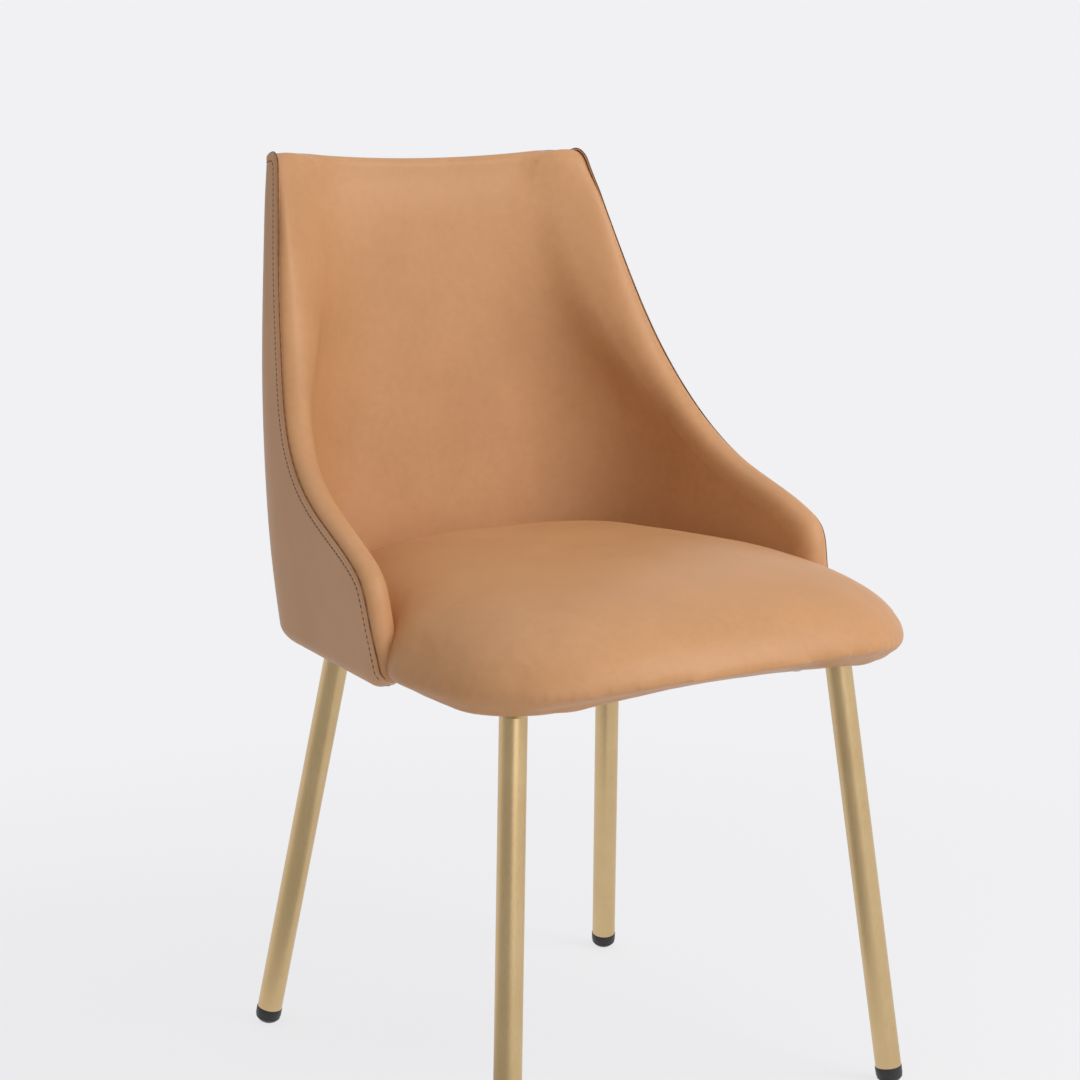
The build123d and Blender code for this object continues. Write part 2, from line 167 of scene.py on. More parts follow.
def plan_point(size, share, z):
    """Points on a face of the shell; share runs from its front (0) to its middle back (1)."""
    half, rear, corner = size
    slant = hypot(1, TOE_IN)
    side_reach = (half + TOE_IN * TOE_LINE) / slant
    reach = side_reach - corner
    bow_y = rear - REAR_BOW
    toe, back = TOE_IN / slant, 1 / slant
    rest = reach**2 - 2 * bow_y * toe * reach + bow_y**2 - (REAR_BOW - corner) ** 2
    bend_start = bow_y * back + np.sqrt((bow_y * back) ** 2 - rest)
    centre_x = back * reach - toe * bend_start
    centre_y = toe * reach + back * bend_start
    first_angle = np.arctan(TOE_IN)
    last_angle = np.arctan2(centre_y - bow_y, centre_x)
    side_start = (PLAN_FRONT - toe * side_reach) / back
    side = bend_start - side_start
    bend = corner * (last_angle - first_angle)
    bow = REAR_BOW * (pi / 2 - last_angle)
    run = share * (side + bend + bow)
    along = side_start + np.minimum(run, side)
    bend_angle = first_angle + np.clip(run - side, 0, bend) / corner
    bow_angle = last_angle + np.maximum(run - side - bend, 0) / REAR_BOW
    on_side = run < side
    on_bend = run < side + bend
    bend_x = centre_x + corner * np.cos(bend_angle)
    bend_y = centre_y + corner * np.sin(bend_angle)
    x = np.where(on_bend, bend_x, REAR_BOW * np.cos(bow_angle))
    y = np.where(on_bend, bend_y, bow_y + REAR_BOW * np.sin(bow_angle))
    x = np.where(on_side, back * side_reach - toe * along, x)
    y = np.where(on_side, toe * side_reach + back * along, y)
    return np.stack(np.broadcast_arrays(x, y, z), -1)


def smooth_step(value, start, end):
    """Smooth rise from 0 at the start to 1 at the end."""
    part = np.clip((value - start) / (end - start), 0, 1)
    return part**2 * (3 - 2 * part)


def eased(points, inset=0.0):
    """Points of a face, with its lower edge raised at the arm and its top dipped and rounded."""
    x, y, z = (points[..., i] for i in range(3))
    rise = ARM_LIFT * smooth_step(y, LIFT_REAR, LIFT_FRONT) * smooth_step(z, LIFT_TOP, BOTTOM)
    outward = (x + inset - TOP_ROUND_FROM) / (TOP_ROUND_TO - TOP_ROUND_FROM)
    inward = np.clip(1 - (x / TOP_DIP_REACH) ** 2, 0, 1)
    fall = TOP_ROUND * np.clip(outward, 0, TOP_ROUND_LIMIT) ** 2 + TOP_DIP * inward
    return np.stack([x, y, z + rise - fall * smooth_step(z, TOP_FADE_LOW, TOP_FADE_HIGH)], -1)


def bottom_turn(height):
    """How far a height below the bend has gone round it."""
    return np.clip((BEND_TOP - height) / BOTTOM_RADIUS, 0, pi / 2)


def outer_point(share, height, depth=0.0):
    """Point on the outer panel; below its bend the height goes on round the bend and under."""
    turn = bottom_turn(height)
    under = np.maximum(BEND_TOP - height - BOTTOM_RADIUS * pi / 2, 0)
    z = np.maximum(height, BEND_TOP) - (BOTTOM_RADIUS - depth) * np.sin(turn)
    inset = BOTTOM_RADIUS * (1 - np.cos(turn)) + under + depth * np.cos(turn)
    return eased(plan_point([curve(z) - inset for curve in OUTER], share, z))


def inner_point(share, height):
    """Point on the padded inner face; at its lower end it leans out, towards the panel."""
    turn = bottom_turn(height)
    z = np.maximum(height, BEND_TOP) - (BOTTOM_RADIUS - SEAM_DEPTH) * np.sin(turn)
    lean = FOOT_LEAN * BOTTOM_RADIUS * (1 - np.cos(turn))
    return eased(plan_point([curve(z) + lean for curve in INNER], share, z), PADDING)


def share_at(surface, y, height):
    """Share along the plan at which a surface reaches y."""
    low = np.zeros_like(y)
    high = np.ones_like(y)
    for _ in range(HALVINGS):
        middle = (low + high) / 2
        behind = surface(middle, height)[..., 1] > y
        high = np.where(behind, middle, high)
        low = np.where(behind, low, middle)
    return (low + high) / 2


def lengths_along(points):
    """Distance of every point from the first one, along the polyline."""
    return np.concatenate([[0], np.cumsum(np.linalg.norm(np.diff(points, axis=0), axis=1))])


def resampled(points, count):
    """Points spread evenly along a polyline."""
    run = lengths_along(points)
    at = np.linspace(0, run[-1], count)
    return np.stack([np.interp(at, run, column) for column in points.T], -1)


def side_outline():
    """Seam in side view: its arm front, its slope and wing up to the top corner, and its top."""
    points = np.array(EDGE_POINTS, float)
    knots = lengths_along(points)
    fine = np.linspace(0, knots[-1], FINE_POINTS)
    curve = np.stack([natural_spline(knots, column)(fine) for column in points.T], -1)
    split = np.searchsorted(fine, knots[ARM_TIP])
    along = np.array(WING_TOP_SLOPE)
    right = np.array((along[1], -along[0]))
    turns = np.radians(np.linspace(0, TOP_CORNER_TURN, CORNER_POINTS))[:, None]
    centre = points[-1] + TOP_CORNER_RADIUS * right
    corner = centre + TOP_CORNER_RADIUS * (np.sin(turns) * along - np.cos(turns) * right)
    last = np.cos(turns[-1]) * along + np.sin(turns[-1]) * right
    top = corner[-1] + np.linspace(TOP_START, TOP_LENGTH, TOP_POINTS)[:, None] * last
    arm = resampled(curve[:split + 1], ARM_STATIONS)
    half = CORNER_POINTS // 2
    wing = resampled(np.vstack([curve[split:], corner[1:half + 1]]), WING_STATIONS)
    return arm, wing, np.vstack([corner[half:], top])


ARM_EDGE, WING_EDGE, TOP_EDGE = side_outline()
SIDE_STATIONS = ARM_STATIONS + WING_STATIONS - 1
STATIONS = SIDE_STATIONS + TOP_STATIONS - 1


def shifted(points, shift):
    """Polyline moved square to itself, towards the shell."""
    along = np.gradient(points, axis=0)
    along /= np.linalg.norm(along, axis=1)[:, None]
    return points + shift * np.stack([along[:, 1], -along[:, 0]], -1)


def edge_stations(surface, shift):
    """Share and height of every station of the seam, arm, wing and top, moved in by the shift."""
    outline = np.vstack([ARM_EDGE, WING_EDGE[1:], TOP_EDGE[1:]])
    inward = shifted(outline, 1.0) - outline
    count = SIDE_STATIONS
    shift = np.broadcast_to(shift, STATIONS)
    y, height = (outline[:count] + shift[:count, None] * inward[:count]).T
    share = share_at(surface, y, height)
    fraction = np.linspace(0, 1, TOP_STATIONS)[1:]
    fraction = (1 - CORNER_SHARE) * fraction**CORNER_POWER + CORNER_SHARE * fraction
    top_share = share[-1] + (1 - share[-1]) * fraction
    top_height = np.full_like(top_share, height[-1])
    rest, rest_inward = outline[count - 1:], inward[count - 1:]
    for _ in range(HEIGHT_ROUNDS):
        top_y = surface(top_share, top_height)[:, 1]
        for i, move in enumerate(shift[count:]):
            rest_y, rest_height = (rest + move * rest_inward).T
            top_height[i] = np.interp(top_y[i], rest_y, rest_height)
    return np.stack([np.append(share, top_share), np.append(height, top_height)], -1)


def coons(bottom, top, left, right):
    """Grid between four edge curves that meet at their ends."""
    a = np.linspace(0, 1, len(bottom))[None, :, None]
    b = np.linspace(0, 1, len(left))[:, None, None]
    between = (1 - b) * bottom[None] + b * top[None]
    between = between + (1 - a) * left[:, None] + a * right[:, None]
    corners = (1 - a) * (1 - b) * bottom[0] + a * (1 - b) * bottom[-1]
    corners = corners + (1 - a) * b * top[0] + a * b * top[-1]
    return between - corners


def line(start, end, fractions):
    """Points at the given fractions of a straight line."""
    return start + (end - start) * fractions[:, None]


def panel_grids(edge, first, lower_count, foot_height, lower_height):
    """Shares and heights of a panel inside its edge: a lower band of even rows, and the rest."""
    tip = ARM_STATIONS - 1
    top = edge[tip:]
    fractions = (top[:, 0] - top[0, 0]) / (1 - top[0, 0])
    arm = edge[first:tip + 1]
    middle = line(arm[lower_count], np.array((1.0, lower_height)), fractions)
    foot = line(arm[0], np.array((1.0, foot_height)), fractions)
    rise = (arm[lower_count:, 1] - arm[lower_count, 1]) / (arm[-1, 1] - arm[lower_count, 1])
    rear = line(middle[-1], top[-1], rise)
    rear_low = line(foot[-1], middle[-1], np.linspace(0, 1, lower_count + 1))
    upper = coons(middle, top, arm[lower_count:], rear)
    return upper, coons(foot, middle, arm[:lower_count + 1], rear_low)


MERGE_DISTANCE = 0.02


def new_object(name, points, faces):
    """Smooth-shaded mesh object from points in millimetres, with its close points merged."""
    mesh = bpy.data.meshes.new(name)
    mesh.from_pydata((np.asarray(points) * MM).tolist(), [], faces)
    shape = bmesh.new()
    shape.from_mesh(mesh)
    bmesh.ops.remove_doubles(shape, verts=shape.verts, dist=MERGE_DISTANCE * MM)
    bmesh.ops.recalc_face_normals(shape, faces=shape.faces)
    shape.to_mesh(mesh)
    shape.free()
    mesh.shade_smooth()
    made = bpy.data.objects.new(name, mesh)
    bpy.context.scene.collection.objects.link(made)
    return made


def grid_faces(rows, columns, first=0, flip=False):
    """Quads of a grid whose points start at the given number."""
    faces = []
    for r in range(rows - 1):
        for c in range(columns - 1):
            corner = first + r * columns + c
            quad = (corner, corner + 1, corner + columns + 1, corner + columns)
            faces.append(quad[::-1] if flip else quad)
    return faces


def joined_grids(name, grids):
    """One mesh from pairs of a grid and whether its faces are turned over."""
    points = []
    faces = []
    for grid, flip in grids:
        faces += grid_faces(*grid.shape[:2], len(points), flip)
        points.extend(grid.reshape(-1, 3))
    return new_object(name, points, faces)


def mirrored_grids(name, half_grids):
    """One mesh from the grids of one half and their mirror images."""
    sides = [(grid * (side, 1, 1), side < 0) for grid in half_grids for side in (1, -1)]
    return joined_grids(name, sides)


def apply_modifiers(piece):
    """Puts the shape that the modifiers give into the mesh itself."""
    evaluated = piece.evaluated_get(bpy.context.evaluated_depsgraph_get())
    mesh = bpy.data.meshes.new_from_object(evaluated)
    piece.modifiers.clear()
    old = piece.data
    piece.data = mesh
    bpy.data.meshes.remove(old)


def thicken(piece, thickness, offset=-1):
    """Gives a sheet its thickness: on its inner side, or evenly about it with an offset of 0."""
    skin = piece.modifiers.new("thickness", "SOLIDIFY")
    skin.thickness = thickness * MM
    skin.offset = offset
    apply_modifiers(piece)


# Outer panel near its folded edge: distance from the seam, and depth below the panel's face
FOLD_ROWS = (
    (1.2, 3.0), (0.4, 2.5), (-0.1, 1.8), (-0.4, 1.1), (-0.4, 0.5), (-0.1, 0.0), (0.6, -0.3),
    (2.0, -0.4), (3.5, -0.42), (5.0, -0.32), (6.0, 0.0), (6.7, 0.42), (7.2, 0.45), (8.0, 0.05),
    (9.2, -0.1), (11.0, -0.05), (14.0, 0.0),
)
STITCH_LINE = 6.95
LOWER_HEIGHT = BEND_TOP + 10.0
PANEL_THICKNESS, COVER_THICKNESS = 1.4, 3.0


def outer_panel():
    """Leatherette panel of the shell's outside, with a folded edge and a flap turned under."""
    rows = []
    for shift, depth in FOLD_ROWS:
        edge = edge_stations(outer_point, shift)
        rows.append(outer_point(edge[:, 0], edge[:, 1], depth))
    # The rest of the panel starts at the fold's last row
    grids = panel_grids(edge, 0, LOWER_ROWS, BEND_END - FLAP, LOWER_HEIGHT)
    made = [outer_point(grid[..., 0], grid[..., 1]) for grid in grids]
    panel = mirrored_grids("outer_panel", [np.array(rows), *made])
    thicken(panel, PANEL_THICKNESS)
    return panel


def roll_profile():
    """Shift and fill of every row of the roll, at every station of the seam."""
    knots = np.linspace(0, 1, len(SIDE_ROLL))
    at = np.linspace(0, 1, ROLL_ROWS)
    side, top = (
        np.stack([natural_spline(knots, column)(at) for column in np.array(roll).T], -1)
        for roll in (SIDE_ROLL, TOP_ROLL)
    )
    station = np.arange(STATIONS)
    blend = smooth_step(station, SIDE_STATIONS - CORNER_STATIONS, SIDE_STATIONS)[None, :, None]
    height = edge_stations(outer_point, 0.0)[:, 1]
    thick = ARM_ROLL + (WING_ROLL - ARM_ROLL) * smooth_step(height, WING_ROLL_FROM, WING_ROLL_TO)
    thick += (HIGH_ROLL - WING_ROLL) * smooth_step(height, HIGH_ROLL_FROM, HIGH_ROLL_TO)
    rows = np.repeat(side[:, None], STATIONS, 1)
    rows[..., 1] *= thick
    return rows * (1 - blend) + top[:, None] * blend


def across(outer, inner, fill):
    """Points on the way from the outer face to the inner face, at the given share of it."""
    start = outer_point(outer[..., 0], outer[..., 1])
    end = inner_point(inner[..., 0], inner[..., 1])
    return start + fill[..., None] * (end - start)


def inner_back():
    """Inner cover over its padding: rolled edge, wings and back in one piece."""
    profile = roll_profile()
    rows = []
    for shift, fill in zip(profile[..., 0], profile[..., 1]):
        edges = [edge_stations(surface, shift) for surface in (outer_point, inner_point)]
        rows.append(across(*edges, fill))
    # The rest of the cover starts at the roll's last row, with its fill
    last = rows[-1]
    hollow = 1 - profile[-1, :, 1]
    lowest = int(np.argmax(ARM_EDGE[:, 1] > BEND_END))
    first = int(np.argmax(edges[1][:, 1] > INNER_FOOT))
    made = [np.array(rows)[:, lowest:]]
    grids = [panel_grids(edge, first, INNER_LOWER_ROWS, INNER_FOOT, INNER_LOWER) for edge in edges]
    for outer, inner in zip(*grids):
        near = np.zeros(inner.shape[:2])
        for _ in range(FADE_ROUNDS):
            face = across(outer, inner, 1 - near)
            for row, points in enumerate(face):
                gap = np.linalg.norm(last - points[:, None], axis=-1)
                away = gap.min(-1)
                weight = (gap + NEAR_BLUR) ** -NEAR_POWER
                mean = (weight * hollow).sum(-1) / weight.sum(-1)
                exact = np.exp(-((away / NEAR_BLUR) ** 2))
                hollow_here = exact * hollow[gap.argmin(-1)] + (1 - exact) * mean
                near[row] = hollow_here * np.exp(-((away / ROLL_FADE) ** 2))
        made.append(across(outer, inner, 1 - near))
    cover = mirrored_grids("inner_back", made)
    thicken(cover, COVER_THICKNESS)
    return cover


# Seat cushion, right half from the front to the rear: its widest line, the plan of its crown
# and its lower edge, pulled under as far as the base panel. The first two are spread a little
SEAT_EDGE = (
    (0, -280), (62, -278.5), (122, -272), (178, -254), (221, -217), (240, -175), (244, -145),
    (247, -120), (247, -104), (243, -90), (234, -72), (225, -22), (216, 40), (205, 95),
    (191, 147), (149, 189), (81, 211.5), (0, 215),
)
SEAT_CROWN_PLAN = (
    (0, -280), (62, -278.5), (122, -272), (178, -254), (219, -216), (236, -173), (241, -140),
    (245, -112), (246, -88), (243, -62), (238, -32), (231, 4), (220, 52), (206, 100),
    (191, 148), (149, 189), (81, 211.5), (0, 215),
)
SEAT_FOOT = (
    (0, -210), (62, -210), (118, -210), (160, -209.5), (196, -202), (214, -178), (220.5, -148),
    (222, -120), (221.5, -103), (219.5, -87), (215, -66), (211, -20), (206, 40), (198, 95),
    (181, 143), (142, 182), (78, 204.5), (0, 208),
)
SEAT_SPREAD = 1.006
SEAT_CENTRE = -11.0

# Rings of the cushion: points round it, rings over it and under it, and their spacing
SEAT_POINTS = 340
SEAT_CROWN_RINGS, SEAT_TUCK_RINGS = 70, 18
SEAT_FIRST_ANGLE, SEAT_RING_POWER = 0.02, 0.7

# Form of the cushion: its widest line, arched at the front, its dome above that, with the
# share of the way out where the crown's plan turns into that line, and its tuck below
SEAT_EDGE_HEIGHT = 419.0
SEAT_EDGE_ARCH, SEAT_ARCH_REACH = 6.0, 190.0
SEAT_CROWN = 497.0
SEAT_FLATNESS = 3.36
SEAT_ROUNDNESS = 1.72
SEAT_WAIST_FROM = 0.84
SEAT_BOTTOM = 402.2
SEAT_SIDE_BOTTOM = 406.0
SEAT_SIDE_X, SEAT_SIDE_Y = (195, 215), (-190, -150)
FRONT_TUCK, SIDE_TUCK = 0.8, 1.6

# Swelling of the seat as cloth
SEAT_VOXEL = 5.0
SEAT_RELAXING, SEAT_RELAX_ROUNDS = 0.5, 2
SEAT_HELD_BELOW = 407.0
SEAT_PRESSURE = 4.0
SEAT_MASS = 0.4
SEAT_CAP = 2.0
SWELL_FRAMES, SWELL_QUALITY = 20, 4

# Lip at the front corners of the seat: its drop, where it lies in plan, and its heights
SEAT_LIP = 2.0
LIP_X, LIP_Y = (120, 170), (-100, -140)
LIP_INSIDE = (9, 4)
LIP_TOP, LIP_FULL = SEAT_BOTTOM + 16, SEAT_BOTTOM + 2

# Small gathers at the front corners of the seat
PUCKER_CENTRE = 150.0
PUCKER_TURN = 62.0
PUCKER_SPREAD = 16.0
PUCKER_STEP = 9.0
PUCKER_DEPTH = 0.2
PUCKER_TOP, PUCKER_FULL = 446.0, 416.0
PUCKER_FOOT = SEAT_BOTTOM + 3
PUCKER_SWAY, PUCKER_SWAY_STEP = 0.9, 7.0

# The dark cord that paints the seam groove's shade, and the stitches of the seam, start above the
# shell's lower edge. A point at the outside depth shows the way out of the panel
SEAM_FOOT = BOTTOM + 2
OUTSIDE_DEPTH = -1.0
THREAD_POINTS = 7

# Dark cord in the seam, painted shade standing in for the groove's shadow line: its distance in
# front of the seam, its depth below the panel and its radius
SHADE_CORD_SHIFT, SHADE_CORD_DEPTH, SHADE_CORD_RADIUS = -0.8, 1.6, 0.55

# Sleeves of the foot plugs: places along the leg from its lower end, and the radii there.
# The leg's ends are its points below the first and above the second height
SLEEVE_PLACES = (-1.5, -1.4, -0.5, 6.6, 7.4, 7.8, 7.8)
SLEEVE_RADII = (11.3, 11.9, 12.35, 12.45, 12.3, 12.05, 11.9)
SLEEVE_POINTS = 33
LEG_LOW, LEG_HIGH = 25.0, 370.0

# Stitches beside the seam: length, pitch and bed, and the way one lies from end to end
STITCH_LENGTH = 3.8
STITCH_PITCH = 5.2
STITCH_BED = 0.35
STITCH_PLACES = (-1.0, -0.92, -0.6, 0.0, 0.6, 0.92, 1.0)
STITCH_RISE = (-0.6, -0.3, 0.2, 0.36, 0.2, -0.3, -0.6)
STITCH_RADII = (0.0, 0.35, 0.55, 0.58, 0.55, 0.35, 0.0)

# Dust cloth under the seat: its cut, which follows the shell at the rear, and its slack
CLOTH_HALF_WIDTH = 196.0
CLOTH_FRONT = -201.0
CLOTH_CORNER = 41.0
CLOTH_STEP = -56.0
CLOTH_REAR_INSET = 18.4
CLOTH_SHELL_HEIGHT = BOTTOM + 2
CLOTH_FRONT_POINTS, CLOTH_CORNER_POINTS, CLOTH_REAR_POINTS = 16, 12, 160
CLOTH_MIDDLE = (0.0, 10.0)
CLOTH_RINGS, CLOTH_FIRST_RING = 26, 0.002
CLOTH_HEIGHT = 401.25
CLOTH_SLACK = 2.4
CLOTH_SLACK_REACH = 0.55
CLOTH_THICKNESS = 0.4

# Staples along the dust cloth: the wire's shape, seen along the cloth, and its radii
STAPLE_INSET = 6.0
STAPLE_PITCH = 34.0
STAPLE_DROP = 0.5
STAPLE_SHAPE = (
    (-5, 1.6), (-5, 1.5), (-4.9, 0.3), (-4.3, 0), (4.3, 0), (4.9, 0.3), (5, 1.5), (5, 1.6),
)
STAPLE_RADII = (0.0, 0.45, 0.45, 0.45, 0.45, 0.45, 0.45, 0.0)


def unit(vectors):
    """Vectors of the same directions, 1 long."""
    return vectors / np.linalg.norm(vectors, axis=-1)[..., None]


def closed_outline(half, count):
    """Smooth closed outline through the points of its right half and their mirror images."""
    half = np.array(half, float)
    loop = np.vstack([half, (half * (-1, 1))[-2:0:-1], half[:1]])
    run = lengths_along(loop)
    loop = np.vstack([loop[-4:-1], loop, loop[1:4]])
    knots = np.concatenate([run[-4:-1] - run[-1], run, run[1:4] + run[-1]])
    marks = np.interp(np.arange(count) / count, np.linspace(0, 1, len(run)), run)
    return np.stack([natural_spline(knots, column)(marks) for column in loop.T], -1)


def seat_rings():
    """Rings of the cushion: over the crown, round its edge and under to its lower edge."""
    edge = closed_outline(SEAT_EDGE, SEAT_POINTS) * SEAT_SPREAD
    crown = closed_outline(SEAT_CROWN_PLAN, SEAT_POINTS) * SEAT_SPREAD
    foot = closed_outline(SEAT_FOOT, SEAT_POINTS)
    middle = np.array((0, SEAT_CENTRE))
    arch = np.clip(1 - (edge[:, 0] / SEAT_ARCH_REACH) ** 2, 0, 1) * (edge[:, 1] < 0)
    edge_height = SEAT_EDGE_HEIGHT + SEAT_EDGE_ARCH * arch
    rings = []
    for angle in np.linspace(SEAT_FIRST_ANGLE, pi / 2, SEAT_CROWN_RINGS):
        out = sin(angle) ** SEAT_RING_POWER
        rise = (1 - out**SEAT_FLATNESS) ** (1 / SEAT_ROUNDNESS)
        plan = crown + smooth_step(out, SEAT_WAIST_FROM, 1.0) * (edge - crown)
        z = edge_height + (SEAT_CROWN - edge_height) * rise
        rings.append(np.column_stack([middle + out * (plan - middle), z]))
    side = smooth_step(np.abs(foot[:, 0]), *SEAT_SIDE_X) * smooth_step(foot[:, 1], *SEAT_SIDE_Y)
    drop = edge_height - SEAT_BOTTOM - (SEAT_SIDE_BOTTOM - SEAT_BOTTOM) * side
    power = 2 / (SIDE_TUCK + (FRONT_TUCK - SIDE_TUCK) * arch)
    for angle in np.linspace(0, pi / 2, SEAT_TUCK_RINGS)[1:]:
        ring = foot + (edge - foot) * (max(cos(angle), 0) ** power)[:, None]
        rings.append(np.column_stack([ring, edge_height - drop * sin(angle) ** power]))
    return np.array(rings)


def seat_cushion():
    """Crowned cushion, tucked in at its lower edge, as a closed form."""
    rings = seat_rings()
    count = rings.shape[1]
    closed = np.concatenate([rings, rings[:, :1]], 1)
    points = list(closed.reshape(-1, 3))
    faces = grid_faces(*closed.shape[:2])
    for ring in (rings[0], rings[-1]):
        points.append(ring.mean(0))
        points.extend(ring)
        hub = len(points) - count - 1
        faces += [(hub, hub + 1 + i, hub + 1 + (i + 1) % count) for i in range(count)]
    return new_object("seat_cushion", points, faces)


def mesh_points(piece):
    """Vertices of a piece, in millimetres."""
    points = np.empty(3 * len(piece.data.vertices))
    piece.data.vertices.foreach_get("co", points)
    return points.reshape(-1, 3) / MM


def move_points(piece, points):
    """Puts the vertices of a piece at the given places."""
    piece.data.vertices.foreach_set("co", (points * MM).ravel())
    piece.data.update()


def swell(piece):
    """Lets the closed cushion swell as cloth under light pressure, held along its lower edge."""
    even = piece.modifiers.new("even_mesh", "REMESH")
    even.mode = "VOXEL"
    even.voxel_size = SEAT_VOXEL * MM
    relaxed = piece.modifiers.new("relaxed", "SMOOTH")
    relaxed.factor = SEAT_RELAXING
    relaxed.iterations = SEAT_RELAX_ROUNDS
    apply_modifiers(piece)
    start = mesh_points(piece)
    held = piece.vertex_groups.new(name="held")
    held.add(np.flatnonzero(start[:, 2] < SEAT_HELD_BELOW).tolist(), 1.0, "REPLACE")
    cloth = piece.modifiers.new("cloth", "CLOTH")
    cloth.settings.vertex_group_mass = "held"
    cloth.settings.quality = SWELL_QUALITY
    cloth.settings.mass = SEAT_MASS
    cloth.settings.use_pressure = True
    cloth.settings.uniform_pressure_force = SEAT_PRESSURE
    cloth.settings.effector_weights.gravity = 0
    for step in range(1, SWELL_FRAMES + 1):
        bpy.context.scene.frame_set(step)
    apply_modifiers(piece)
    bpy.context.scene.frame_set(1)
    piece.vertex_groups.clear()
    moved = mesh_points(piece) - start
    length = np.linalg.norm(moved, axis=1)
    keep = np.minimum(1, SEAT_CAP / np.maximum(length, 1e-6))
    move_points(piece, start + moved * keep[:, None])
    finer = piece.modifiers.new("finer", "SUBSURF")
    finer.levels = 1
    apply_modifiers(piece)
    piece.data.shade_smooth()


def pucker(piece):
    """Small gathers at the front corners, where the cover is pulled under."""
    points = mesh_points(piece)
    normals = np.empty(3 * len(points))
    piece.data.vertices.foreach_get("normal", normals)
    normals = normals.reshape(-1, 3)
    turn = np.degrees(np.arctan2(np.abs(points[:, 0]), -points[:, 1] - PUCKER_CENTRE))
    low = np.clip((PUCKER_TOP - points[:, 2]) / (PUCKER_TOP - PUCKER_FULL), 0, 1)
    place = np.exp(-(((turn - PUCKER_TURN) / PUCKER_SPREAD) ** 2))
    phase = np.radians(360 * (turn - PUCKER_TURN) / PUCKER_STEP)
    fold = np.cos(phase + PUCKER_SWAY * np.sin(points[:, 2] / PUCKER_SWAY_STEP))
    depth = PUCKER_DEPTH * place * low**2 * fold * (points[:, 2] > PUCKER_FOOT)
    move_points(piece, points + normals * depth[:, None])


def drop_lip(piece):
    """Lets the cushion's lower edge down a little at the front corners, outside the leg plates."""
    points = mesh_points(piece)
    middle = np.array((0, SEAT_CENTRE))
    foot = closed_outline(SEAT_FOOT, SEAT_POINTS) - middle
    plan = points[:, :2] - middle
    around = np.arctan2(foot[:, 0], -foot[:, 1])
    order = np.argsort(around)
    foot_reach = np.linalg.norm(foot, axis=1)[order]
    turn = np.arctan2(plan[:, 0], -plan[:, 1])
    reach = np.interp(turn, around[order], foot_reach, period=2 * pi)
    inside = reach - np.linalg.norm(plan, axis=1)
    corner = smooth_step(np.abs(points[:, 0]), *LIP_X) * smooth_step(points[:, 1], *LIP_Y)
    low = smooth_step(points[:, 2], LIP_TOP, LIP_FULL)
    points[:, 2] -= SEAT_LIP * corner * low * smooth_step(inside, *LIP_INSIDE)
    move_points(piece, points)


def tube(path, up, side, radii, count=THREAD_POINTS):
    """Grid of rings round a path, one ring for each of its points."""
    angles = np.linspace(0, 2 * pi, count)[None, :, None]
    ring = np.cos(angles) * up[:, None] + np.sin(angles) * side[:, None]
    return path[:, None] + np.asarray(radii)[:, None, None] * ring


def seam_stitching():
    """Thread along the seam: one row of stitches whose ends dip into the panel."""
    edge = edge_stations(outer_point, STITCH_LINE)
    edge = edge[edge[:, 1] > SEAM_FOOT]
    floor = outer_point(edge[:, 0], edge[:, 1], STITCH_BED)
    out = unit(outer_point(edge[:, 0], edge[:, 1], OUTSIDE_DEPTH) - floor)
    run = lengths_along(floor)

    def at(values, places):
        return np.stack([np.interp(places, run, column) for column in values.T], -1)

    half = np.array(STITCH_PLACES) * STITCH_LENGTH / 2
    stitches = []
    for middle in np.arange(STITCH_PITCH / 2, run[-1], STITCH_PITCH):
        up = unit(at(out, middle + half))
        path = at(floor, middle + half) + np.array(STITCH_RISE)[:, None] * up
        side = unit(np.cross(unit(np.gradient(path, axis=0)), up))
        stitches.append(tube(path, up, side, STITCH_RADII))
    return mirrored_grids("seam_stitching", stitches)


def seam_shade_cord():
    """Thin dark cord in the seam, between the outer panel's lip and the roll: painted shade of the
    groove there.
    """
    edge = edge_stations(outer_point, SHADE_CORD_SHIFT)
    edge = edge[edge[:, 1] > SEAM_FOOT]
    path = outer_point(edge[:, 0], edge[:, 1], SHADE_CORD_DEPTH)
    out = unit(outer_point(edge[:, 0], edge[:, 1], OUTSIDE_DEPTH) - path)
    side = unit(np.cross(unit(np.gradient(path, axis=0)), out))
    return mirrored_grids("seam_shade_cord", [tube(path, out, side, np.full(len(path), SHADE_CORD_RADIUS))])


def foot_sleeves():
    """Sleeve of every foot plug, drawn up over the end of its tube."""
    grids = []
    for leg in ("front_left", "front_right", "rear_left", "rear_right"):
        node = frame["nodes"][f"{leg}_leg"]
        points = np.array([node.matrix_world @ vertex.co for vertex in node.data.vertices]) / MM
        low = points[points[:, 2] < LEG_LOW].mean(0)
        high = points[points[:, 2] > LEG_HIGH].mean(0)
        axis = unit(high - low)
        side = unit(np.cross(axis, (0.0, 1.0, 0.0)))
        path = low + np.array(SLEEVE_PLACES)[:, None] * axis
        ways = (np.tile(way, (len(path), 1)) for way in (side, np.cross(axis, side)))
        grids.append((tube(path, *ways, SLEEVE_RADII, SLEEVE_POINTS), False))
    return joined_grids("foot_sleeves", grids)


